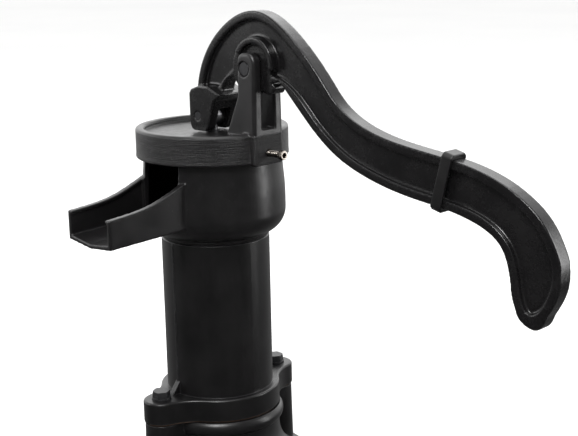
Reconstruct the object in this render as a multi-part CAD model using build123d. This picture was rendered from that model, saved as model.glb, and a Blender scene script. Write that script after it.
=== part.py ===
from build123d import *
import os
from math import cos, radians, sin, sqrt

# A hand-worked pitcher well pump, in millimetres. The origin is the centre of the base's
# underside, +Z is up, the spout runs along -Y and the handle along +X. The handle is drawn
# at the top of its swing, with the plunger at the bottom of its stroke. The barrel, base and
# spout are drawn square and then turned a little, as the cap may be set to any angle.

# Heights above the ground
base_top = 60.0
leather_t = 2.0
flange_t = 18.0
flange_bottom = base_top + leather_t
flange_top = flange_bottom + flange_t
bowl_bottom = flange_top + 129.8
spigot_top = bowl_bottom + 7
cap_ring_bottom = flange_top + 197
cap_ring_height = 24.0
cap_ring_top = cap_ring_bottom + cap_ring_height
cap_disc_top = cap_ring_top - 4.5
cap_disc_t = 4.5
cap_washer_t = 1.0
spout_turn = -4.2
bowl_rim = cap_disc_top - cap_disc_t - cap_washer_t

# Cylinder, and the two-bolt flange that joins it to the base
cylinder_r = 45.0
bore_r = 38.0
spigot_r = 42.0
flange_r = 50.5
lobe_pitch_r = 62.5
lobe_r = 15.0
lobe_blend_r = 40.0
leather_inset = 2.4
bolt_hole_r = 4.5
seam_proud = 0.5

# Base
base_r = 78.0
base_flange_t = 10.0
base_neck_r = 50.5
base_shoulder_r = 53.5
base_rib_t = 6.0
base_boss_r = 28.0
inlet_r = 19.5
inlet_length = 24.0
port_r = 15.0
mount_pitch_r = 69.0
mount_hole_r = 4.5
mount_count = 4
insert_r = 5.5
insert_length = 22.0

# Foot valve
window_r = 25.0
flap_r = 22.0
flap_hinge_y = 25.0
flap_weight_r = 14.0
flap_weight_t = 8.0

# Upper body: the bowl and its spout, one moulding
bowl_r = 57.0
bowl_wide_r = 59.2
bowl_neck_r = 44.6
bowl_wall = 4.0
shoulder_r = 20.0
shoulder_z = flange_top + 152
rim_start_z = shoulder_z + 46
spout_reach = 123.5
mouth_half_width = 22.0
spout_half_width = 28.5
spout_wall = 3.5
spout_tip_top = flange_top + 165.5
spout_tip_bottom = flange_top + 142.4
spout_keel = 3.0
spout_rise = 3.0
spout_bead_width = 5.6
spout_bead_t = 2.6

# Cap, with the bracket that carries the handle
cap_ring_r = 62.5
cap_skirt_r = 57.5
cap_rim_inner_r = 55.4
bracket_left = 46.5
bracket_foot = 33.0
bracket_right = 65.6
bracket_top = flange_top + 283.5
bracket_waist = flange_top + 250
bracket_bottom = flange_top + 195.2
bracket_slot_floor = flange_top + 223.5
bracket_half_top = 14.6
bracket_half_bottom = 16.4
slot_half = 7.2
rod_slot_reach = 10.5
rod_slot_r = 6.3

# Handle, an I-section lever that turns on the fulcrum pin
pivot_x, pivot_z = 53.7, flange_top + 271.0
rod_pin_z = flange_top + 229.9
handle_t = 13.0
handle_web_t = 5.0
handle_rim = 6.5
hub_r = 20.5
crown_x, crown_z = 59.5, flange_top + 274.4
crown_inner_r = 16.3
crown_outer_r = 21.0
crown_half = 10.5
crown_start, crown_end = -9.0, 155.0
jaw_half = 15.4
jaw_gap_half = 6.7
cheek_r = 11.6
collar_x, collar_z = 239.0, flange_top + 204.7
collar_width = 8.6
collar_height = 43.5
collar_t = 18.0
collar_lean = 14.5

# Pins, rod and plunger
fulcrum_pin_r = 4.95
fulcrum_bore_r = 5.0
counterbore_r = 6.0
counterbore_depth = 2.4
bush_r = 7.2
rod_pin_r = 3.4
rod_r = 5.0
rod_eye_r = 9.5
plunger_pin_z = 144.0
plunger_pin_r = 4.0
rod_end_z = plunger_pin_z + 15
plunger_bottom = 98.0
cup_clearance = 0.05
set_screw_z = flange_top + 204.5
set_screw_r = 2.6
set_screw_head_r = 4.3
set_screw_head_t = 4.4
set_screw_hole_r = 2.9
screw_insert_r = 4.4
screw_insert_end = bracket_right - 2.7
set_screw_tip = 57.3
set_screw_end = 82.0


def on_xz(sketch):
    """A sketch drawn as (x, z), stood up in the plane of the handle; it faces -Y."""
    return Plane.XZ * sketch


def on_yz(sketch):
    """A sketch drawn as (y, z), stood up in the plane of the spout; it faces +X."""
    return Plane.YZ * sketch


def turned(points, radii=0):
    """A solid of revolution about the pump's axis from (radius, height) corners."""
    edges = FilletPolyline(*points, radius=radii, close=True)
    return revolve(on_xz(make_face(edges)), Axis.Z)


def disc(r, z0, z1, x=0.0, y=0.0):
    """A round solid between two heights."""
    return Pos(x, y, (z0 + z1) / 2) * Cylinder(r, z1 - z0)


def ring(r_out, r_in, z0, z1, x=0.0, y=0.0):
    return disc(r_out, z0, z1, x, y) - disc(r_in, z0 - 1, z1 + 1, x, y)


def across(r, y0, y1, x, z):
    """A round solid along Y, for pins and their bores."""
    return Pos(x, (y0 + y1) / 2, z) * Rot(90, 0, 0) * Cylinder(r, y1 - y0)


def along(r, x0, x1, z):
    """A round solid along X, for the set screw."""
    return Pos((x0 + x1) / 2, 0, z) * Rot(0, 90, 0) * Cylinder(r, x1 - x0)


def block(x0, x1, y0, y1, z0, z1):
    centre = Pos((x0 + x1) / 2, (y0 + y1) / 2, (z0 + z1) / 2)
    return centre * Box(x1 - x0, y1 - y0, z1 - z0)


def hexagon(across_flats, z0, z1, x=0.0, y=0.0):
    sketch = RegularPolygon(across_flats / 2, 6, major_radius=False)
    return Pos(x, y, z0) * extrude(sketch, z1 - z0)


def lobes():
    """The places of the two flange bolts, in line with the spout."""
    return [(0.0, -lobe_pitch_r), (0.0, lobe_pitch_r)]


def lobed_plan(centre_r, end_r):
    """The outline of a two-bolt flange: a circle drawn out to a round ear at each bolt."""
    far = centre_r + lobe_blend_r
    near = end_r + lobe_blend_r
    blend_y = (lobe_pitch_r**2 + far**2 - near**2) / (2 * lobe_pitch_r)
    blend = Vector(sqrt(far**2 - blend_y**2), blend_y)
    bolt = Vector(0, lobe_pitch_r)
    side = blend * (centre_r / far)
    ear = bolt + (blend - bolt) * (end_r / near)
    waist = blend + ((side + ear) / 2 - blend).normalized() * lobe_blend_r
    arcs = []
    for turn_x, turn_y in ((1, 1), (-1, 1), (-1, -1), (1, -1)):
        arcs.append(ThreePointArc(*[(turn_x * p.X, turn_y * p.Y) for p in (side, waist, ear)]))
    for turn in (1, -1):
        arcs.append(ThreePointArc((turn * side.X, -side.Y), (turn * centre_r, 0), (turn * side.X, side.Y)))
        end = turn * (lobe_pitch_r + end_r)
        arcs.append(ThreePointArc((ear.X, turn * ear.Y), (0, end), (-ear.X, turn * ear.Y)))
    return make_face(Curve() + arcs)


def flat_rim(part, z, radius):
    """Rounds the outer edge of a part's flat face at height z."""
    face = [f for f in part.faces() if abs(f.center().Z - z) < 0.01 and f.area > 500][0]
    return fillet(face.outer_wire().edges(), radius)


# ---- Base and foot valve -------------------------------------------------------------


def base_profile():
    """Half of the bell's outline: a flanged foot, a flare and a rounded shoulder on top."""
    rim = base_r - 3
    foot = Polyline((0, 0), (base_r, 0), (base_r, base_flange_t - 2))
    edge = ThreePointArc(foot @ 1, (base_r - 0.8, base_flange_t - 0.6), (rim, base_flange_t))
    step = Line((rim, base_flange_t), (rim - 4, base_flange_t))
    bell = ThreePointArc(step @ 1, (56.5, 22), (base_neck_r, base_top - 12))
    shoulder = ThreePointArc(bell @ 1, (base_shoulder_r, base_top - 6), (base_neck_r + 0.5, base_top))
    top = Polyline(shoulder @ 1, (0, base_top), (0, 0))
    return make_face(foot + edge + step + bell + shoulder + top)


def base_hollow():
    """The space under the bell, round the inlet's boss, crossed by four ribs."""
    neck_z = base_top - 12
    hollow = turned([(base_boss_r, -1), (60, -1), (60, 10), (43, 36), (41, neck_z), (base_boss_r, neck_z)])
    for turn in (45, 135):
        hollow -= Pos(0, 0, base_top / 2) * Rot(0, 0, turn) * Box(2 * base_r, base_rib_t, base_top + 4)
    return hollow


def base():
    """The bell-shaped foot, hollow below, with a tapped inlet and the lower valve seat."""
    body = revolve(on_xz(base_profile()), Axis.Z)
    ear_r = lobe_r - 0.8
    for x, y in lobes():
        body += Pos(x, y, base_top) * extrude(Circle(ear_r), 6 - base_top, taper=-1)
        body += block(-ear_r, ear_r, min(0, y), max(0, y), base_top - 14, base_top)
    body -= base_hollow()
    body -= disc(inlet_r, -1, inlet_length) + disc(port_r, inlet_length - 1, base_top + 1)
    for x, y in lobes():
        body -= disc(insert_r, base_top - insert_length, base_top + 1, x, y)
    for place in PolarLocations(mount_pitch_r, mount_count, start_angle=30):
        body -= place * Cylinder(mount_hole_r, 3 * base_flange_t)
    return body


def base_inserts():
    """Threaded brass inserts in the base's two ears, one for each flange bolt."""
    return [ring(insert_r, 4.0, base_top - insert_length, base_top, x, y) for x, y in lobes()]


def foot_leather():
    """The leather between base and cylinder: it seals the joint and frames the flap."""
    plan = lobed_plan(flange_r - leather_inset, lobe_r - leather_inset)
    sheet = Pos(0, 0, base_top) * extrude(plan, leather_t)
    sheet -= disc(window_r, base_top - 1, flange_bottom + 1)
    for x, y in lobes():
        sheet -= disc(bolt_hole_r, base_top - 1, flange_bottom + 1, x, y)
    return sheet


def foot_flap():
    """The leather tongue that covers the suction port; it bends along its hinge line."""
    tongue_end = flap_hinge_y - 1.4
    tongue = disc(flap_r, base_top, flange_bottom)
    tongue += block(-6, 6, 0, tongue_end, base_top, flange_bottom)
    return tongue - disc(3.0, base_top - 1, flange_bottom + 1)


def flap_weight():
    top = flange_bottom + flap_weight_t
    weight = disc(flap_weight_r, flange_bottom, top) - disc(3.0, flange_bottom - 1, top + 1)
    rim = [e for e in weight.edges().filter_by(GeomType.CIRCLE) if e.radius > 5]
    return chamfer([e for e in rim if e.center().Z > top - 1], 2.0)


def flap_washer():
    return ring(11.0, 3.0, base_top - 3, base_top)


def flap_screw():
    """The screw and nut that clamp the leather between its weight and washer."""
    head_z = flange_bottom + flap_weight_t
    screw = disc(3.0, base_top - 9, head_z) + disc(5.5, head_z, head_z + 3)
    screw -= block(-6, 6, -0.7, 0.7, head_z + 1.5, head_z + 4)
    nut = hexagon(10, base_top - 8, base_top - 3) - disc(3.0, base_top - 9, base_top - 2)
    return [screw, nut]


# ---- Cylinder ------------------------------------------------------------------------


def gusset(side):
    """The small web between the barrel and one ear of the flange."""
    start = side * (cylinder_r - 1)
    end = side * (lobe_pitch_r - 9)
    low = flange_top - 1
    outline = Polyline((start, low), (end, low), (start, flange_top + 12), close=True)
    return extrude(on_yz(make_face(outline)), 2.5, both=True)


def seam(side):
    """The raised parting line that runs up one side of the barrel."""
    inner = side * (cylinder_r - seam_proud)
    outer = side * (cylinder_r + seam_proud)
    return block(-0.8, 0.8, min(inner, outer), max(inner, outer), flange_top, bowl_bottom - 2)


def cylinder():
    """The pump barrel with its two-bolt flange, its gussets and its parting seam."""
    flange = Pos(0, 0, flange_bottom) * extrude(lobed_plan(flange_r, lobe_r), flange_t)
    flange = flat_rim(flange, flange_top, 1.8)
    tube = disc(cylinder_r, flange_bottom, bowl_bottom)
    tube = chamfer(tube.edges().sort_by(Axis.Z)[-1], 0.8)
    tube += disc(spigot_r, bowl_bottom - 1, spigot_top)
    for side in (-1, 1):
        tube += gusset(side)
        tube += seam(side)
    barrel = flange + tube - disc(bore_r, flange_bottom - 1, spigot_top + 1)
    for x, y in lobes():
        barrel -= disc(bolt_hole_r, flange_bottom - 1, flange_top + 1, x, y)
    return barrel


def flange_bolts():
    """Two M8 hexagon bolts, screwed into the base's inserts."""
    bolts = []
    for x, y in lobes():
        head = hexagon(13, flange_top + 1.6, flange_top + 6.9, x, y)
        head &= Pos(x, y, flange_top + 1.6) * extrude(Circle(7.6), 5.3, taper=6)
        bolts.append(head + disc(4.0, base_top - insert_length + 2, flange_top + 2, x, y))
    return bolts


def flange_washers():
    return [ring(8.0, 4.25, flange_top, flange_top + 1.6, x, y) for x, y in lobes()]


# ---- Upper body ----------------------------------------------------------------------


def bowl_profile():
    """Half of the bowl's outer outline, from its neck to its rim, closed to the axis."""
    centre_r = bowl_wide_r - shoulder_r
    start_z = shoulder_z - sqrt(shoulder_r**2 - (bowl_neck_r - centre_r) ** 2)
    mid = radians(-30)
    arc = ThreePointArc(
        (bowl_neck_r, start_z),
        (centre_r + shoulder_r * cos(mid), shoulder_z + shoulder_r * sin(mid)),
        (bowl_wide_r, shoulder_z),
    )
    side = Spline(
        (bowl_wide_r, shoulder_z),
        (bowl_wide_r - 0.5, shoulder_z + 22),
        (bowl_r, rim_start_z),
        tangents=((0, 1), (0, 1)),
    )
    top = Polyline((bowl_r, rim_start_z), (bowl_r, bowl_rim), (0, bowl_rim), (0, bowl_bottom))
    foot = Polyline((0, bowl_bottom), (bowl_neck_r, bowl_bottom), (bowl_neck_r, start_z))
    return make_face(arc + side + top + foot)


def spout_side():
    """The spout's outline seen from the side, as (y, z): its hollowed top edge sweeps up."""
    tip = -spout_reach
    inside = -40.0
    low = spout_tip_bottom - spout_keel - 1
    root = (-50, flange_top + 183.6)
    top_edge = Spline(
        (tip, spout_tip_top),
        (-103, flange_top + 167.4),
        (-81, flange_top + 171.4),
        (-65, flange_top + 177.2),
        root,
    )
    rest = Polyline(root, (inside, flange_top + 185.5), (inside, low), (tip, low), (tip, spout_tip_top))
    return make_face(top_edge + rest)


def keeled(half_width, inset, high, y0, y1):
    """A long prism with a shallow V bottom that rises from the spout's tip to the bowl."""
    slope = radians(spout_rise)
    low = spout_tip_bottom - spout_keel + inset + (y0 + spout_reach) * sin(slope)
    vee = [(0, 0), (half_width, spout_keel), (half_width, high)]
    vee += [(-half_width, high), (-half_width, spout_keel)]
    section = make_face(Polyline(*vee, close=True))
    start = Plane(origin=(0, y0, low), x_dir=(1, 0, 0), z_dir=(0, -cos(slope), -sin(slope)))
    return extrude(start * section, -(y1 - y0))


def spout_bead():
    """The flat thickened edge along the top of each spout wall."""
    side = extrude(on_yz(spout_side()), spout_half_width, both=True)
    below = Pos(0, 0, -spout_bead_t) * extrude(on_yz(spout_side()), spout_half_width + 1, both=True)
    inner = spout_half_width - spout_bead_width
    bead = side - below - block(-inner, inner, -200, 0, 0, 400)
    return bead - disc(bowl_wide_r - bowl_wall + 0.5, 0, 400)


def bowl_hollow():
    """The room inside the bowl, above the cylinder's spigot."""
    floor_z = spigot_top + 4
    wide = bowl_wide_r - bowl_wall
    top = bowl_r - bowl_wall
    corners = [(0, floor_z), (38, floor_z), (wide, shoulder_z - 2), (top, rim_start_z)]
    corners += [(top, bowl_rim + 1), (0, bowl_rim + 1)]
    return turned(corners, [0, 3, 12, 8, 0, 0])


def spout_channel():
    """The spout's open trough, and the narrower mouth where it passes through the bowl."""
    inner = spout_half_width - spout_wall
    trough = keeled(inner, spout_wall, 70, -spout_reach - 5, -30) - disc(bowl_wide_r, 0, 400)
    mouth = keeled(mouth_half_width, spout_wall, 70, -spout_reach - 5, -30)
    both = trough + mouth
    return both & block(-inner, inner, -200, -30, 0, cap_ring_bottom + 2)


def spout_head():
    """The bowl that crowns the cylinder, with the open spout moulded onto it."""
    outer = revolve(on_xz(bowl_profile()), Axis.Z)
    trough = extrude(on_yz(spout_side()), spout_half_width, both=True)
    outer += trough & keeled(spout_half_width, 0, 60, -spout_reach, -35)
    body = outer - bowl_hollow() - spout_channel() + spout_bead()
    body -= disc(bore_r, bowl_bottom - 1, spigot_top + 5)
    return body - disc(spigot_r, bowl_bottom - 1, spigot_top + 1)


def spigot_seal():
    """The flat rubber ring between the cylinder's spigot and the bowl."""
    return ring(spigot_r, bore_r + 0.5, spigot_top, spigot_top + 1)


def cap_washer():
    """The slip washer that the cap turns on."""
    return ring(bowl_r - 0.3, bowl_r - bowl_wall + 0.4, bowl_rim, bowl_rim + cap_washer_t)


# ---- Cap and bracket -----------------------------------------------------------------


def cap_plate():
    """The turned part of the cap: a skirt round the bowl's rim and a sunken lid."""
    lid_bottom = cap_disc_top - cap_disc_t
    lip_r = cap_ring_r + 0.25
    return turned(
        [
            (0, lid_bottom),
            (cap_skirt_r, lid_bottom),
            (cap_skirt_r, cap_ring_bottom),
            (lip_r, cap_ring_bottom),
            (lip_r, cap_ring_bottom + 2.6),
            (cap_ring_r, cap_ring_bottom + 3.2),
            (cap_ring_r, cap_ring_top),
            (cap_rim_inner_r, cap_ring_top),
            (cap_rim_inner_r, cap_disc_top),
            (0, cap_disc_top),
        ],
        [0, 0, 0.4, 1.0, 0.3, 0.3, 2.2, 1.6, 1.6, 0],
    )


def bracket():
    """Two ears on a common foot; their outer faces lean in towards the top."""
    outline = FilletPolyline(
        (bracket_foot, cap_disc_top - 1),
        (bracket_foot, cap_disc_top + 1),
        (bracket_left, bracket_waist),
        (bracket_left, bracket_top),
        (bracket_right, bracket_top),
        (bracket_right, bracket_bottom),
        (cap_ring_r - 4, bracket_bottom),
        (cap_ring_r - 4, cap_disc_top - 1),
        radius=[0, 0, 14, 6.5, 8.5, 1.5, 0, 0],
        close=True,
    )
    ears = extrude(on_xz(make_face(outline)), 20, both=True)
    draft = Polyline(
        (-bracket_half_bottom, bracket_bottom - 1),
        (bracket_half_bottom, bracket_bottom - 1),
        (bracket_half_top, bracket_top + 1),
        (-bracket_half_top, bracket_top + 1),
        close=True,
    )
    ears &= extrude(on_yz(make_face(draft)), 90)
    upright = [
        e
        for e in ears.edges()
        if abs(e.center().Y) > 13 and e.center().X > bracket_right - 3 and e.center().Z > bracket_bottom + 2
    ]
    return fillet(upright, 2.4)


def bracket_slot():
    """The gap between the ears, open at the top and over the lid."""
    top = bracket_top + 9
    inside = block(0, cap_ring_r - 5.5, -slot_half, slot_half, cap_disc_top, top)
    outside = block(cap_ring_r - 7, bracket_right + 9, -slot_half, slot_half, bracket_slot_floor, top)
    return inside + outside


def cap():
    """Skirt, lid and handle bracket in one moulding, bored for the pin, rod and screw."""
    body = cap_plate() + bracket() - bracket_slot()
    reach = rod_slot_reach
    rod_slot = Pos(-reach / 2, 0, 0) * SlotCenterToCenter(reach, 2 * rod_slot_r)
    body -= Pos(0, 0, cap_disc_top - cap_disc_t - 1) * extrude(rod_slot, cap_disc_t + 2)
    body -= across(fulcrum_bore_r, -20, 20, pivot_x, pivot_z)
    half = ear_half_width(pivot_z)
    for side in (-1, 1):
        ends = sorted((side * (half - counterbore_depth), side * (half + 3)))
        body -= across(counterbore_r, *ends, pivot_x, pivot_z)
    body -= along(set_screw_hole_r, cap_skirt_r - 2, bracket_right + 2, set_screw_z)
    return body - along(screw_insert_r, cap_skirt_r - 2, screw_insert_end, set_screw_z)


def ear_half_width(z):
    """Half of the bracket's width at a height, between its drafted outer faces."""
    share = (z - bracket_bottom + 1) / (bracket_top - bracket_bottom + 2)
    return bracket_half_bottom + share * (bracket_half_top - bracket_half_bottom)


def screw_insert():
    """The threaded brass insert that the set screw turns in."""
    insert = along(screw_insert_r, cap_skirt_r + 0.3, screw_insert_end, set_screw_z)
    return insert - along(set_screw_r + 0.05, 50, 70, set_screw_z)


def set_screw():
    """The socket-head screw that locks the cap by bearing on the bowl."""
    head = set_screw_end - set_screw_head_t
    screw = along(set_screw_r, set_screw_tip, head + 1, set_screw_z)
    screw += along(set_screw_head_r, head, set_screw_end, set_screw_z)
    socket = RegularPolygon(2.0, 6, major_radius=False)
    place = Plane(origin=(set_screw_end + 1, 0, set_screw_z), x_dir=(0, 1, 0), z_dir=(1, 0, 0))
    return screw - extrude(place * socket, -3.6)


def fulcrum_pin():
    """The headed pin that the handle turns on; both ends lie sunk in the ears."""
    half = ear_half_width(pivot_z)
    seat = half - counterbore_depth
    pin = across(fulcrum_pin_r, -half + 0.9, seat + 1.5, pivot_x, pivot_z)
    return pin + across(counterbore_r - 0.2, seat, seat + 1.6, pivot_x, pivot_z)


def fulcrum_clip():
    """The retaining ring on the pin's plain end."""
    seat = -ear_half_width(pivot_z) + counterbore_depth
    clip = across(counterbore_r - 0.25, seat - 0.8, seat, pivot_x, pivot_z)
    return clip - across(fulcrum_pin_r, seat - 2, seat + 1, pivot_x, pivot_z)


# ---- Handle --------------------------------------------------------------------------


def handle_edges():
    """The lever's main edges in (x, z): over the arch, along the arm, round the grip and back."""
    f = flange_top
    start = (-9.5, f + 246)
    arch_end = (134, f + 258.4)
    grip_top = (334, f + 150)
    grip_under = (295.8, f + 141)
    arch = Spline(start, (-3.6, f + 270), (18.8, f + 299), (59, f + 315.3), (93.5, f + 299.4), arch_end)
    arm = Spline(
        arch_end,
        (187, f + 230),
        (238, f + 222.4),
        (286.5, f + 210.5),
        (307.7, f + 198.7),
        (323.4, f + 183.1),
        (332.1, f + 166.6),
        grip_top,
        tangents=(arch % 1, (0, -1)),
    )
    tip = Spline(
        grip_top,
        (332.2, f + 140.2),
        (327.8, f + 130.6),
        (321.8, f + 121.2),
        (311.4, f + 112.4),
        (299.4, f + 126.7),
        grip_under,
    )
    under = Spline(
        grip_under,
        (294.2, f + 150.1),
        (287.6, f + 166.5),
        (265, f + 180.2),
        (213, f + 189.5),
        (161, f + 202.3),
        (141, f + 211.6),
        (124.3, f + 223.4),
        (104.4, f + 242),
        (84.4, f + 262.6),
    )
    return arch, arm, tip, under


def on_hub(radius, angle):
    """A point of the handle's plane at an angle round the pivot."""
    return pivot_x + radius * cos(radians(angle)), pivot_z + radius * sin(radians(angle))


def hub_nub(start, end):
    """The rounded toe under the hub, parted from the arm by a small notch."""
    f = flange_top
    corners = [start, (75.5, f + 261.2), (79.8, f + 257.6), (76.6, f + 252.4), (70, f + 251.8), end]
    return FilletPolyline(*corners, radius=[0.7, 2.0, 2.5, 2.0])


def handle_outline():
    """The lever's whole outline: below the pivot it follows the hub, then the short arm."""
    arch, arm, tip, under = handle_edges()
    f = flange_top
    lobe_start, lobe_middle, lobe_end = [on_hub(hub_r, a) for a in (-54, -100, -158)]
    lobe = ThreePointArc(lobe_start, lobe_middle, lobe_end)
    short_arm = Spline(lobe_end, (28.4, f + 261.2), (24, f + 257.8), (21.4, f + 251.6), (17.1, f + 245))
    root = Polyline(short_arm @ 1, (10, f + 238), arch @ 0)
    return make_face(arch + arm + tip + under + hub_nub(under @ 1, lobe_start) + lobe + short_arm + root)


def pocket_outline():
    """The web's outline: the lever's edges set in by the rim, closed through the hub."""
    f = flange_top
    arch, arm, tip, under = handle_edges()
    inset = []
    for edge, count in ((arch, 9), (arm, 10), (tip, 0), (under, 12)):
        for k in range(count):
            share = k / count
            along_edge = edge % share
            inset.append(edge @ share + Vector(along_edge.Y, -along_edge.X) * handle_rim)
        if edge is tip:
            inset += [(327, f + 148), (323.2, f + 136.5), (317, f + 127), (310.5, f + 124.2), (305, f + 131)]
    last = on_hub(26, -11)
    inset.append(last)
    hub_side = [(pivot_x, pivot_z), (33, f + 268.5), (24.5, f + 262.5), (16, f + 254), (8, f + 248)]
    return make_face(Spline(*inset) + Polyline(last, *hub_side, inset[0]))


def crown():
    """The raised band that arches over the ears, in (x, z)."""
    band = Circle(crown_outer_r) - Circle(crown_inner_r)
    wedge = [(0, 0)]
    steps = 12
    for k in range(steps + 1):
        angle = radians(crown_start + (crown_end - crown_start) * k / steps)
        wedge.append((2 * crown_outer_r * cos(angle), 2 * crown_outer_r * sin(angle)))
    return Pos(crown_x, crown_z) * (band & make_face(Polyline(*wedge, close=True)))


def cheek_outline():
    """One side of the fork that holds the rod's eye, as (x, z)."""
    f = flange_top
    bottom = rod_pin_z - cheek_r - 0.4
    return FilletPolyline(
        (-9.5, rod_pin_z - 3.5),
        (-9.5, f + 250.5),
        (0.5, f + 254),
        (12, f + 254.6),
        (27, f + 248.4),
        (19.3, f + 243),
        (13.8, f + 225.6),
        (10.6, bottom),
        (-7.8, bottom),
        radius=[5, 6, 8, 8, 0.8, 5, 7, 6, 5],
        close=True,
    )


def handle():
    """The lever: an I-section with a plain hub, a proud crown and a forked short end."""
    outline = handle_outline()
    body = extrude(on_xz(outline), handle_t / 2, both=True)
    pocket = pocket_outline() - Pos(pivot_x, pivot_z) * Circle(hub_r)
    pocket -= Pos(crown_x, crown_z) * Circle(crown_inner_r + 1)
    pocket -= crown()
    depth = (handle_t - handle_web_t) / 2
    for side in (-1, 1):
        face = Plane.XZ.offset(side * handle_t / 2) * pocket
        body -= extrude(face, -side * depth)
    body += extrude(on_xz(crown()), crown_half, both=True)
    jaw = extrude(on_xz(make_face(cheek_outline())), jaw_half, both=True)
    gap = across(cheek_r + 1.2, -jaw_gap_half, jaw_gap_half, 0, rod_pin_z)
    gap += block(-20, 40, -jaw_gap_half, jaw_gap_half, rod_pin_z - 20, rod_pin_z + 6)
    body = body + jaw - gap
    body -= across(rod_pin_r, -20, 20, 0, rod_pin_z)
    return body - across(bush_r, -20, 20, pivot_x, pivot_z)


def handle_bush():
    """The plain bush that lines the hub; it stands slightly proud at each side."""
    bush = across(bush_r, -handle_t / 2 - 0.3, handle_t / 2 + 0.3, pivot_x, pivot_z)
    return bush - across(fulcrum_bore_r, -20, 20, pivot_x, pivot_z)


def handle_collar():
    """The square band round the middle of the handle."""
    band = Box(collar_width, collar_t, collar_height)
    band = chamfer(band.edges().filter_by(Axis.X), 2.6)
    band = Pos(collar_x, 0, collar_z) * Rot(0, collar_lean, 0) * band
    return band - extrude(on_xz(handle_outline()), handle_t / 2, both=True)


def rod_pin():
    return across(rod_pin_r, -jaw_half + 0.3, jaw_half - 0.3, 0, rod_pin_z)


# ---- Rod and plunger -----------------------------------------------------------------


def piston_rod():
    """The steel rod, forged to an eye at its upper end."""
    half = jaw_gap_half - 0.5
    eye = across(rod_eye_r, -half, half, 0, rod_pin_z)
    rod = disc(rod_r, rod_end_z, rod_pin_z)
    return eye + rod - across(rod_pin_r + 0.05, -20, 20, 0, rod_pin_z)


def rod_foot():
    """The lower eye, screwed onto the rod."""
    eye = across(9.5, -6, 6, 0, plunger_pin_z) + disc(5.6, plunger_pin_z + 5, rod_end_z)
    eye += disc(7.5, rod_end_z - 1, rod_end_z + 10) - disc(rod_r, rod_end_z, rod_end_z + 11)
    return eye - across(plunger_pin_r, -20, 20, 0, plunger_pin_z)


def rod_locknut():
    low = rod_end_z + 10
    return hexagon(17, low, low + 6) - disc(rod_r, low - 1, low + 7)


def plunger_pin():
    return across(plunger_pin_r, -13.5, 13.5, 0, plunger_pin_z)


def plunger_body():
    """The plunger's casting: a ported disc, a bridge over the valve and two slotted lugs."""
    low = plunger_bottom + 9
    body = disc(34.8, low, low + 6) + disc(20, plunger_bottom, low + 1)
    for side in (-1, 1):
        body += block(-10, 10, *sorted((side * 22, side * 28)), low + 5, low + 25)
        body += block(-14, 14, *sorted((side * 6.6, side * 12.6)), low + 24, plunger_pin_z + 10)
    body += block(-12, 12, -28, 28, low + 21, low + 25)
    body -= disc(14, plunger_bottom - 1, low + 7)
    slot = Pos(-0.4, plunger_pin_z - 0.2) * SlotCenterToCenter(9.4, 10.8)
    return body - extrude(on_xz(slot), 30, both=True)


def cup_leather():
    """The cup seal: a turned-up leather lip that wipes the bore."""
    low = plunger_bottom + 6
    lip = bore_r - cup_clearance
    top = low + 18
    section = [(20, low), (lip, low), (lip, top), (lip - 2.4, top), (lip - 2.8, low + 3), (20, low + 3)]
    return turned(section, [0, 3.0, 0.5, 0.5, 0, 0])


def plunger_follower():
    """The ring nut that clamps the cup to the plunger."""
    return hexagon(62, plunger_bottom, plunger_bottom + 6) - disc(20, 0, 200)


def plunger_valve():
    """The poppet in the plunger, guided by four wings in the port."""
    seat = plunger_bottom + 15
    valve = disc(17, seat, seat + 4) + disc(6, seat + 3, seat + 8)
    wings = Box(27.6, 3, 13) + Box(3, 27.6, 13)
    return valve + Pos(0, 0, seat - 6) * wings


fixed_nodes = {
    "base": base(),
    "base_inserts": base_inserts(),
    "foot_leather": foot_leather(),
    "foot_flap": foot_flap(),
    "flap_weight": flap_weight(),
    "flap_washer": flap_washer(),
    "flap_screw": flap_screw(),
    "cylinder": cylinder(),
    "flange_bolts": flange_bolts(),
    "flange_washers": flange_washers(),
    "spout_head": spout_head(),
}
turning_nodes = {
    "spigot_seal": spigot_seal(),
    "cap_washer": cap_washer(),
    "cap": cap(),
    "screw_insert": screw_insert(),
    "set_screw": set_screw(),
    "fulcrum_pin": fulcrum_pin(),
    "fulcrum_clip": fulcrum_clip(),
    "handle": handle(),
    "handle_bush": handle_bush(),
    "handle_collar": handle_collar(),
    "rod_pin": rod_pin(),
    "piston_rod": piston_rod(),
    "rod_foot": rod_foot(),
    "rod_locknut": rod_locknut(),
    "plunger_pin": plunger_pin(),
    "plunger_body": plunger_body(),
    "cup_leather": cup_leather(),
    "plunger_follower": plunger_follower(),
    "plunger_valve": plunger_valve(),
}


def save(name, shape, turn):
    """Writes one node as a STEP file, turned about the pump's axis."""
    bodies = shape if isinstance(shape, list) else [shape]
    solids = [Rot(0, 0, turn) * solid for body in bodies for solid in body.solids()]
    whole = solids[0] if len(solids) == 1 else Compound(children=solids)
    export_step(whole, f"parts/{name}.step")


os.makedirs("parts", exist_ok=True)
for name, shape in fixed_nodes.items():
    save(name, shape, spout_turn)
for name, shape in turning_nodes.items():
    save(name, shape, 0)
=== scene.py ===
import math

import bmesh
import bpy
from mathutils import Matrix, Vector


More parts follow.
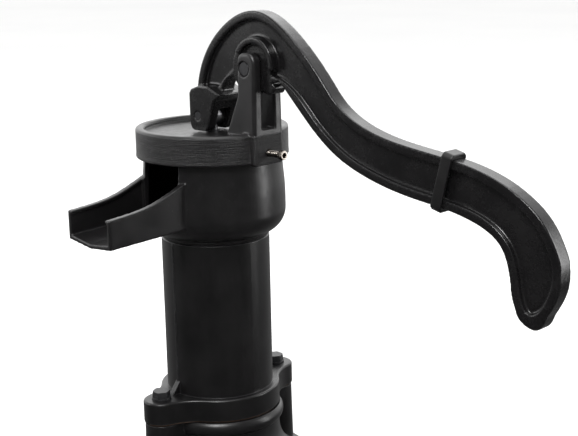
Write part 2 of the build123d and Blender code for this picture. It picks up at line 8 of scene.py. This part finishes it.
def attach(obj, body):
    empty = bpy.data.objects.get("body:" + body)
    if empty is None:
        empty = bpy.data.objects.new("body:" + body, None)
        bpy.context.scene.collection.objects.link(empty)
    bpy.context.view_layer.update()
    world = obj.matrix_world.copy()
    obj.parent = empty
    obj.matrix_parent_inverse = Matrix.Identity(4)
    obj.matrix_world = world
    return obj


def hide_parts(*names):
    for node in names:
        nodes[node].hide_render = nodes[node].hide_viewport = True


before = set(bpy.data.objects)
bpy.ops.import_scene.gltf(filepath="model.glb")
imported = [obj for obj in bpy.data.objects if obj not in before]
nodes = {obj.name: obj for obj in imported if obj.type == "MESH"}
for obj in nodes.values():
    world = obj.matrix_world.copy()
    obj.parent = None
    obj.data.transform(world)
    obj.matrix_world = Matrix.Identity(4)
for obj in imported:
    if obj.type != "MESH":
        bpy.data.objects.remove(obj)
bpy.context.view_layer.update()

# Metres, in the row frame. The cap shows turned rings below ring_top_z.
collar_voxel = 0.0005
moulding_voxel = 0.0007
ring_top_z = 0.3
ring_fade = 0.0012

# The grip's tip, which is blunted below tip_z and beyond tip_from_x
tip_z, tip_depth = 0.205, 0.012
tip_from_x, tip_middle_x = 0.29, 0.313
tip_squash, tip_shift, tip_spread = 0.86, 0.004, 0.3

# The cap's locking screw, along X
screw_z = 0.2845
screw_start, screw_shoulder, screw_end = 0.0573, 0.0776, 0.0820
screw_pitch, screw_root_r, screw_crest_r = 0.00125, 0.00205, 0.0026
screw_neck_r, screw_head_r = 0.0024, 0.0038
screw_sides, rings_per_pitch = 72, 10
lead_in = 0.002
knurls, knurl_depth = 36, 0.00009
under_chamfer, top_chamfer = 0.0003, 0.0004
socket_r, socket_depth, socket_floor_r = 0.0020, 0.0034, 0.0003
lip_r, lip_depth = 0.00012, 0.0002

# The studio. Angles are in degrees, and azimuths go from -Y towards +X.
floor_half, floor_near, floor_bend, floor_curve, floor_steps = 9, -4, 5, 4, 39
lamp_target = (0, 0, 0.25)
camera_azimuth, camera_yaw = 47.5, 3.509
camera_pitch, camera_roll = 13.438, -1.116
camera_distance, camera_height = 1.00634, 0.46102
camera_lens, camera_sensor = 77.23, 36.0
camera_side = (0.737, -0.676, 0.0)
floor_white = 1.12
back_glow, front_glow, low_glow = 2.3, 0.10, 0.12


# ---- Materials -----------------------------------------------------------------------


class Shader:
    """A small helper that builds a Principled material out of nodes."""

    def __init__(self, name):
        self.material = bpy.data.materials.new(name)
        self.material.use_nodes = True
        self.tree = self.material.node_tree
        self.bsdf = self.tree.nodes["Principled BSDF"]
        self.coords = self.add("ShaderNodeTexCoord").outputs["Object"]

    def add(self, kind, **settings):
        """A new shader node of that kind, with its settings."""
        node = self.tree.nodes.new(kind)
        for key, value in settings.items():
            setattr(node, key, value)
        return node

    def link(self, a, b):
        self.tree.links.new(a, b)

    def scaled(self, scale):
        """Object coordinates stretched by a vector."""
        mapping = self.add("ShaderNodeMapping")
        mapping.inputs["Scale"].default_value = scale
        self.link(self.coords, mapping.inputs["Vector"])
        return mapping.outputs["Vector"]

    def noise(self, scale, detail=4.0, rough=0.55, stretch=None, seed=0.0):
        """Fractal noise from 0 to 1; seed moves it to another part of the pattern."""
        node = self.add("ShaderNodeTexNoise", noise_dimensions="4D")
        node.inputs["Scale"].default_value = scale
        node.inputs["Detail"].default_value = detail
        node.inputs["Roughness"].default_value = rough
        node.inputs["W"].default_value = seed
        self.link(self.scaled(stretch) if stretch else self.coords, node.inputs["Vector"])
        return node.outputs["Fac"]

    def remap(self, value, low, high, to_low, to_high):
        """Maps the range low to high onto to_low to to_high, clamped at both ends."""
        node = self.add("ShaderNodeMapRange")
        node.inputs["From Min"].default_value = low
        node.inputs["From Max"].default_value = high
        node.inputs["To Min"].default_value = to_low
        node.inputs["To Max"].default_value = to_high
        self.link(value, node.inputs["Value"])
        return node.outputs["Result"]

    def maths(self, operation, a, b):
        """A maths node on two values, each a socket or a plain number."""
        node = self.add("ShaderNodeMath", operation=operation)
        for socket, value in zip(node.inputs, (a, b)):
            if isinstance(value, (int, float)):
                socket.default_value = value
            else:
                self.link(value, socket)
        return node.outputs["Value"]

    def ramp(self, value, stops):
        """A colour ramp from (position, colour) stops."""
        node = self.add("ShaderNodeValToRGB")
        elements = node.color_ramp.elements
        while len(elements) < len(stops):
            elements.new(0.5)
        for element, (place, colour) in zip(elements, stops):
            element.position = place
            element.color = (*colour, 1.0)
        self.link(value, node.inputs["Fac"])
        return node.outputs["Color"]

    def mix(self, factor, a, b):
        """Colour a where factor is 0 and b where it is 1."""
        node = self.add("ShaderNodeMix", data_type="RGBA")
        self.link(factor, node.inputs["Factor"])
        for socket, value in ((node.inputs[6], a), (node.inputs[7], b)):
            if isinstance(value, tuple):
                socket.default_value = (*value, 1.0)
            else:
                self.link(value, socket)
        return node.outputs[2]

    def edges(self, radius, low, high):
        """1 along sharp edges and 0 on flat ground, from the difference a bevel makes."""
        bevel = self.add("ShaderNodeBevel", samples=6)
        bevel.inputs["Radius"].default_value = radius
        geometry = self.add("ShaderNodeNewGeometry")
        dot = self.add("ShaderNodeVectorMath", operation="DOT_PRODUCT")
        self.link(bevel.outputs["Normal"], dot.inputs[0])
        self.link(geometry.outputs["Normal"], dot.inputs[1])
        return self.remap(dot.outputs["Value"], low, high, 1.0, 0.0)

    def bumps(self, *layers, bevel=0.0):
        """Chains bump layers of (height, distance in metres, strength) onto the normal."""
        normal = None
        if bevel:
            node = self.add("ShaderNodeBevel", samples=8)
            node.inputs["Radius"].default_value = bevel
            normal = node.outputs["Normal"]
        for height, distance, strength in layers:
            bump = self.add("ShaderNodeBump")
            bump.inputs["Distance"].default_value = distance
            bump.inputs["Strength"].default_value = strength
            self.link(height, bump.inputs["Height"])
            if normal is not None:
                self.link(normal, bump.inputs["Normal"])
            normal = bump.outputs["Normal"]
        self.link(normal, self.bsdf.inputs["Normal"])


def black_plastic(
    name,
    streak=None,
    turned=None,
    dust=0.0,
    bevel=0.0,
    seed=0.0,
    level=1.0,
    rough=(0.27, 0.38),
    relief=1.0,
):
    """Satin black moulded plastic: fine grain, cloudy sheen, faint scuffs, worn edges.

    Below the height `turned` it also has the fine rings of a turned surface.
    """
    s = Shader(name)
    cloud = s.noise(28, 5, 0.6, seed=seed)
    grain = s.noise(1700, 3, 0.6, seed=seed + 1)
    scuff = s.noise(120, 8, 0.72, stretch=streak, seed=seed + 2)
    dark = tuple(level * c for c in (0.0030, 0.0029, 0.0031))
    light = tuple(level * c for c in (0.0056, 0.0052, 0.0055))
    worn = (0.018, 0.0175, 0.018)
    colour = s.ramp(cloud, [(0.3, dark), (0.7, light)])
    colour = s.mix(s.remap(scuff, 0.60, 0.78, 0.0, 0.35), colour, worn)
    sharp = s.edges(0.0012, 0.90, 0.995)
    patchy = s.remap(s.noise(300, 4, seed=seed + 3), 0.35, 0.7, 0.1, 0.8)
    edge = s.maths("MULTIPLY", sharp, patchy)
    colour = s.mix(edge, colour, (0.034, 0.034, 0.036))
    if dust:
        speck = s.noise(900, 2, 0.5, seed=seed + 4)
        colour = s.mix(s.remap(speck, 0.70, 0.76, 0.0, dust), colour, (0.16, 0.155, 0.15))
    s.link(colour, s.bsdf.inputs["Base Color"])
    base = s.remap(cloud, 0.3, 0.7, *rough)
    s.link(s.maths("ADD", base, s.remap(scuff, 0.45, 0.8, 0.0, 0.12)), s.bsdf.inputs["Roughness"])
    layers = [(grain, 0.00006, 0.5 * relief), (scuff, 0.00005, 0.4 * relief), (cloud, 0.0006, 0.12 * relief)]
    if turned:
        lines = s.noise(30, 6, 0.75, stretch=(0.6, 0.6, 60), seed=seed + 5)
        height = s.add("ShaderNodeSeparateXYZ")
        s.link(s.coords, height.inputs["Vector"])
        below = s.remap(height.outputs["Z"], turned - ring_fade, turned, 1.0, 0.0)
        layers.append((s.maths("MULTIPLY", lines, below), 0.0010, 1.0))
    s.bumps(*layers, bevel=bevel)
    return s.material


def metal(name, dark, light, rough, scratch=(1, 1, 1), grain=900, seed=0.0, metallic=1.0, bump=0.00004):
    """Worn metal: brushed or cast variation in colour, roughness and relief."""
    s = Shader(name)
    cloud = s.noise(60, 6, 0.65, seed=seed)
    fine = s.noise(grain, 4, 0.6, stretch=scratch, seed=seed + 1)
    colour = s.ramp(cloud, [(0.3, dark), (0.72, light)])
    colour = s.mix(s.remap(fine, 0.5, 0.8, 0.0, 0.4), colour, tuple(0.55 * c for c in dark))
    s.link(colour, s.bsdf.inputs["Base Color"])
    s.bsdf.inputs["Metallic"].default_value = metallic
    s.link(s.remap(fine, 0.3, 0.7, *rough), s.bsdf.inputs["Roughness"])
    s.bumps((fine, bump, 0.6), (cloud, bump * 6, 0.2), bevel=0.0004)
    return s.material


def leather(name, seed=0.0, level=1.0):
    """Oiled pump leather with a pebbled grain and darker, wetter patches."""
    s = Shader(name)
    cell = s.add("ShaderNodeTexVoronoi", feature="DISTANCE_TO_EDGE")
    cell.inputs["Scale"].default_value = 900
    s.link(s.coords, cell.inputs["Vector"])
    patch = s.noise(45, 6, 0.6, seed=seed)
    dark = tuple(level * c for c in (0.10, 0.045, 0.018))
    light = tuple(level * c for c in (0.25, 0.125, 0.055))
    colour = s.ramp(patch, [(0.3, dark), (0.7, light)])
    crease = s.remap(cell.outputs["Distance"], 0.0, 0.12, 1.0, 0.0)
    colour = s.mix(s.maths("MULTIPLY", crease, 0.5), colour, (0.05, 0.022, 0.01))
    s.link(colour, s.bsdf.inputs["Base Color"])
    s.link(s.remap(patch, 0.3, 0.7, 0.42, 0.68), s.bsdf.inputs["Roughness"])
    s.bumps((cell.outputs["Distance"], 0.0002, 0.6), (patch, 0.0006, 0.3))
    return s.material


def rubber(name):
    """Matt black seal rubber with a fine grain."""
    s = Shader(name)
    patch = s.noise(120, 6, 0.6)
    colour = s.ramp(patch, [(0.3, (0.008, 0.008, 0.008)), (0.7, (0.022, 0.021, 0.02))])
    s.link(colour, s.bsdf.inputs["Base Color"])
    s.link(s.remap(patch, 0.3, 0.7, 0.6, 0.8), s.bsdf.inputs["Roughness"])
    s.bumps((s.noise(2200, 3), 0.00005, 0.5))
    return s.material


def nylon(name):
    """The slip washer's off-white nylon."""
    s = Shader(name)
    patch = s.noise(90, 6, 0.6)
    s.link(s.ramp(patch, [(0.3, (0.42, 0.41, 0.38)), (0.7, (0.66, 0.65, 0.61))]), s.bsdf.inputs["Base Color"])
    s.link(s.remap(patch, 0.3, 0.7, 0.35, 0.5), s.bsdf.inputs["Roughness"])
    s.bumps((s.noise(1500, 3), 0.00004, 0.4))
    return s.material


def paint(obj, material):
    """Gives an object one material."""
    obj.data.materials.clear()
    obj.data.materials.append(material)


def all_materials():
    """One material for each CAD node."""
    steel = metal("bright_steel", (0.52, 0.52, 0.53), (0.70, 0.70, 0.71), (0.20, 0.36), (1, 1, 8), seed=2)
    oiled = metal("oiled_steel", (0.16, 0.16, 0.165), (0.30, 0.30, 0.31), (0.28, 0.44), (1, 1, 8), seed=8)
    screw = metal("screw_steel", (0.16, 0.14, 0.12), (0.36, 0.33, 0.30), (0.16, 0.30), (12, 1, 1), seed=3)
    brass = metal("brass", (0.46, 0.31, 0.11), (0.70, 0.50, 0.22), (0.24, 0.42), (1, 1, 1), seed=4)
    iron = metal("cast_iron", (0.05, 0.047, 0.044), (0.12, 0.115, 0.108), (0.48, 0.7), grain=500, seed=5,
                 metallic=0.7, bump=0.0002)
    black_steel = metal("black_steel", (0.012, 0.012, 0.013), (0.030, 0.030, 0.032), (0.30, 0.46), seed=6,
                        metallic=0.35)
    hide = leather("leather")
    # Painted shade: the foot leather gets a copy of the leather at a quarter of its brightness, darkened as
    # if it lay in the shadow of the joint between the flanges.
    shade_darkened_leather = leather("leather_painted_shade", seed=7, level=0.25)
    ring_top = (nodes["cap"].matrix_world.inverted() @ Vector((0, 0, ring_top_z))).z
    table = {
        "base": black_plastic("plastic_base", seed=10, bevel=0.0007),
        "cylinder": black_plastic("plastic_barrel", streak=(1, 1, 0.12), seed=11, bevel=0.0006),
        "spout_head": black_plastic("plastic_bowl", dust=0.3, seed=12, bevel=0.0006, level=1.15),
        "cap": black_plastic("plastic_cap", turned=ring_top, seed=13, bevel=0.0006, level=1.3),
        "handle": black_plastic("plastic_handle", seed=14, bevel=0.0012, rough=(0.20, 0.28), relief=0.35),
        "handle_collar": black_plastic("plastic_collar", seed=15, bevel=0.0007),
        "base_inserts": brass, "foot_leather": shade_darkened_leather, "foot_flap": hide, "flap_weight": iron,
        "flap_washer": brass, "flap_screw": brass, "flange_bolts": black_steel,
        "flange_washers": black_steel, "spigot_seal": rubber("rubber"), "cap_washer": nylon("slip_washer"),
        "screw_insert": brass, "set_screw": screw, "fulcrum_pin": black_steel, "fulcrum_clip": black_steel,
        "handle_bush": brass, "rod_pin": black_steel, "piston_rod": oiled, "rod_foot": steel,
        "rod_locknut": steel, "plunger_pin": steel, "plunger_body": iron, "cup_leather": hide,
        "plunger_follower": iron, "plunger_valve": brass,
    }
    for name, material in table.items():
        paint(nodes[name], material)
    return table


materials = all_materials()

# ---- Pieces shaped here --------------------------------------------------------------


def softened(name, body, voxel, rounds, reshape=None):
    """Stands a finer mesh in for a CAD node, with every moulded edge rounded over."""
    obj = bpy.data.objects.new(name + "_moulded", nodes[name].data.copy())
    obj.matrix_world = nodes[name].matrix_world.copy()
    bpy.context.scene.collection.objects.link(obj)
    work = bmesh.new()
    work.from_mesh(obj.data)
    bmesh.ops.remove_doubles(work, verts=work.verts, dist=1e-6)
    work.to_mesh(obj.data)
    work.free()
    remesh = obj.modifiers.new("remesh", "REMESH")
    remesh.mode = "VOXEL"
    remesh.voxel_size = voxel
    smooth = obj.modifiers.new("smooth", "SMOOTH")
    smooth.factor = 0.5
    smooth.iterations = rounds
    bpy.context.view_layer.update()
    shaped = obj.evaluated_get(bpy.context.evaluated_depsgraph_get())
    mesh = bpy.data.meshes.new_from_object(shaped)
    obj.modifiers.clear()
    obj.data = mesh
    for polygon in mesh.polygons:
        polygon.use_smooth = True
    if reshape:
        for vertex in mesh.vertices:
            vertex.co = reshape(vertex.co)
    paint(obj, materials[name])
    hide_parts(name)
    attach(obj, body)


def blunt_tip(point):
    """Fills out the grip's very tip, which is too pointed in the CAD."""
    place = nodes["handle"].matrix_world @ point
    depth = (tip_z - place.z) / tip_depth
    if place.x < tip_from_x or depth <= 0:
        return point
    place.z = tip_z - (tip_z - place.z) * tip_squash
    place.x += tip_shift * depth * depth + (place.x - tip_middle_x) * tip_spread * depth
    return nodes["handle"].matrix_world.inverted() @ place


def lathed(name, rings, count):
    """A closed surface along X from rings of (x, radius as a function of the turn)."""
    work = bmesh.new()
    loops = []
    for x, radius in rings:
        loop = []
        for k in range(count):
            turn = k / count
            r = radius(turn)
            loop.append(work.verts.new((x, r * math.cos(math.tau * turn), r * math.sin(math.tau * turn))))
        loops.append(loop)
    for one, two in zip(loops, loops[1:]):
        for k in range(count):
            j = (k + 1) % count
            work.faces.new((one[k], one[j], two[j], two[k]))
    work.faces.new(loops[0])
    work.faces.new(list(reversed(loops[-1])))
    bmesh.ops.recalc_face_normals(work, faces=work.faces)
    mesh = bpy.data.meshes.new(name)
    work.to_mesh(mesh)
    work.free()
    obj = bpy.data.objects.new(name, mesh)
    bpy.context.scene.collection.objects.link(obj)
    return obj


def threaded_screw():
    """The cap's locking screw, with a real helical thread, a knurled head and a hex socket."""
    start, shoulder, end = screw_start, screw_shoulder, screw_end

    def thread(x):
        def radius(turn):
            t = ((x - start) / screw_pitch - turn) % 1.0
            wave = 1.0 - abs(2.0 * t - 1.0)
            taper = min(1.0, (x - start) / lead_in)
            height = (screw_crest_r - screw_root_r) * min(1.0, 1.25 * wave) * taper
            return screw_root_r * (0.8 + 0.2 * taper) + height
        return radius

    def plain(r):
        return lambda turn: r

    def knurled(r):
        return lambda turn: r - knurl_depth * (1 + math.cos(math.tau * turn * knurls))

    def hexagonal(flat):
        return lambda turn: flat / math.cos(((turn * 6) % 1.0 - 0.5) * math.tau / 6)

    steps = int((shoulder - start) / screw_pitch * rings_per_pitch)
    rings = []
    for k in range(steps + 1):
        x = start + (shoulder - start) * k / steps
        rings.append((x, thread(x)))
    rings += [
        (shoulder, plain(screw_neck_r)),
        (shoulder, plain(screw_head_r - under_chamfer)),
        (shoulder + under_chamfer, knurled(screw_head_r)),
        (end - top_chamfer, knurled(screw_head_r)),
        (end, plain(screw_head_r - top_chamfer)),
        (end, hexagonal(socket_r + lip_r)),
        (end - lip_depth, hexagonal(socket_r)),
        (end - socket_depth, hexagonal(socket_r)),
        (end - socket_depth - lip_depth, plain(socket_floor_r)),
    ]
    obj = lathed("set_screw_threaded", rings, screw_sides)
    obj.location = (0, 0, screw_z)
    paint(obj, materials["set_screw"])
    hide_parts("set_screw")
    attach(obj, "set_screw")


softened("handle", "handle", moulding_voxel, 7, blunt_tip)
softened("handle_collar", "handle", collar_voxel, 5)
softened("cap", "cap", moulding_voxel, 4)
softened("spout_head", "pump", moulding_voxel, 6)
threaded_screw()

# ---- Floor, light and camera ---------------------------------------------------------


def floor():
    """A pale floor whose far side curves up into a backdrop."""
    mesh = bpy.data.meshes.new("floor")
    work = bmesh.new()
    rows = []
    for k in range(floor_steps + 1):
        t = k / floor_steps
        if t < 0.5:
            y, z = floor_near + t * 2 * (floor_bend - floor_near), 0.0
        else:
            a = (t - 0.5) * math.pi
            y, z = floor_bend + floor_curve * math.sin(a), floor_curve - floor_curve * math.cos(a)
        rows.append([work.verts.new((x, y, z)) for x in (-floor_half, floor_half)])
    for low, high in zip(rows, rows[1:]):
        work.faces.new((low[0], low[1], high[1], high[0]))
    work.to_mesh(mesh)
    work.free()
    for polygon in mesh.polygons:
        polygon.use_smooth = True
    obj = bpy.data.objects.new("floor", mesh)
    bpy.context.scene.collection.objects.link(obj)
    s = Shader("floor_paint")
    soft = s.noise(1.4, 3)
    s.link(s.ramp(soft, [(0.3, (0.86, 0.86, 0.86)), (0.7, (0.89, 0.89, 0.885))]), s.bsdf.inputs["Base Color"])
    s.bsdf.inputs["Roughness"].default_value = 0.9
    paint(obj, s.material)
    obj.visible_glossy = False


def aim(obj, place, target):
    """Puts obj at place with its -Z towards target."""
    back = (Vector(place) - Vector(target)).normalized()
    right = Vector((0, 0, 1)).cross(back).normalized()
    turn = Matrix((right, back.cross(right), back)).transposed().to_4x4()
    obj.matrix_world = Matrix.Translation(place) @ turn


def softbox(name, azimuth, elevation, distance, size, power):
    """A rectangular area light at an azimuth (0 is -Y, 90 is +X) and elevation."""
    data = bpy.data.lights.new(name, "AREA")
    data.shape = "RECTANGLE"
    data.size, data.size_y = size
    data.energy = power
    obj = bpy.data.objects.new(name, data)
    bpy.context.scene.collection.objects.link(obj)
    a, e = math.radians(azimuth), math.radians(elevation)
    reach = distance * math.cos(e)
    offset = Vector((reach * math.sin(a), -reach * math.cos(a), distance * math.sin(e)))
    place = Vector(lamp_target) + offset
    aim(obj, place, lamp_target)


def world_light():
    """An even white glow; reflections see it bright behind the pump, dark in front and below."""
    world = bpy.data.worlds.new("studio")
    bpy.context.scene.world = world
    world.use_nodes = True
    tree = world.node_tree
    output = tree.nodes["World Output"]
    plain = tree.nodes["Background"]
    plain.inputs["Color"].default_value = (1.0, 1.0, 1.0, 1.0)
    plain.inputs["Strength"].default_value = floor_white
    mirrored = tree.nodes.new("ShaderNodeBackground")
    coords = tree.nodes.new("ShaderNodeTexCoord")
    facing = tree.nodes.new("ShaderNodeVectorMath")
    facing.operation = "DOT_PRODUCT"
    facing.inputs[1].default_value = camera_side
    tree.links.new(coords.outputs["Generated"], facing.inputs[0])
    front = tree.nodes.new("ShaderNodeMapRange")
    front.inputs["From Min"].default_value = -0.75
    front.inputs["From Max"].default_value = 0.1
    front.inputs["To Min"].default_value = back_glow
    front.inputs["To Max"].default_value = front_glow
    tree.links.new(facing.outputs["Value"], front.inputs["Value"])
    height = tree.nodes.new("ShaderNodeSeparateXYZ")
    tree.links.new(coords.outputs["Generated"], height.inputs["Vector"])
    low = tree.nodes.new("ShaderNodeMapRange")
    low.inputs["From Min"].default_value = -0.25
    low.inputs["From Max"].default_value = 0.1
    low.inputs["To Min"].default_value = low_glow
    low.inputs["To Max"].default_value = 1.0
    tree.links.new(height.outputs["Z"], low.inputs["Value"])
    both = tree.nodes.new("ShaderNodeMath")
    both.operation = "MULTIPLY"
    tree.links.new(front.outputs["Result"], both.inputs[0])
    tree.links.new(low.outputs["Result"], both.inputs[1])
    tree.links.new(both.outputs["Value"], mirrored.inputs["Strength"])
    path = tree.nodes.new("ShaderNodeLightPath")
    mix = tree.nodes.new("ShaderNodeMixShader")
    tree.links.new(path.outputs["Is Glossy Ray"], mix.inputs["Fac"])
    tree.links.new(plain.outputs["Background"], mix.inputs[1])
    tree.links.new(mirrored.outputs["Background"], mix.inputs[2])
    tree.links.new(mix.outputs["Shader"], output.inputs["Surface"])


def studio():
    """The world's glow and five soft boxes."""
    world_light()
    bpy.context.scene.view_settings.view_transform = "Standard"
    softbox("rim_right", 134, 8, 2.2, (0.45, 1.6), 16)
    softbox("rim_left", -46, 20, 2.2, (0.6, 1.4), 10)
    softbox("back_top", 200, 44, 2.2, (1.2, 0.7), 5)
    softbox("front", 36, 46, 2.0, (0.6, 0.5), 34)
    softbox("top", 60, 86, 2.0, (1.2, 1.0), 14)


def camera():
    """The photo's camera, as worked out from the pump's own circles and edges."""
    azimuth, yaw = math.radians(camera_azimuth), math.radians(camera_yaw)
    pitch, roll = math.radians(camera_pitch), math.radians(camera_roll)
    turn = Matrix.Rotation(azimuth, 3, "Z")
    place = turn @ Vector((0, -camera_distance, 0)) + Vector((0, 0, camera_height))
    level = Vector((math.sin(yaw), math.cos(yaw), 0))
    forward = turn @ (math.cos(pitch) * level - Vector((0, 0, math.sin(pitch))))
    right = turn @ Vector((math.cos(yaw), -math.sin(yaw), 0))
    up = right.cross(forward)
    across = math.cos(roll) * right + math.sin(roll) * up
    upright = -math.sin(roll) * right + math.cos(roll) * up
    data = bpy.data.cameras.new("camera")
    data.sensor_width = camera_sensor
    data.lens = camera_lens
    data.clip_start, data.clip_end = 0.05, 50.0
    obj = bpy.data.objects.new("camera", data)
    bpy.context.scene.collection.objects.link(obj)
    axes = Matrix((across, upright, -forward)).transposed().to_4x4()
    obj.matrix_world = Matrix.Translation(place) @ axes
    bpy.context.scene.camera = obj


floor()
studio()
camera()
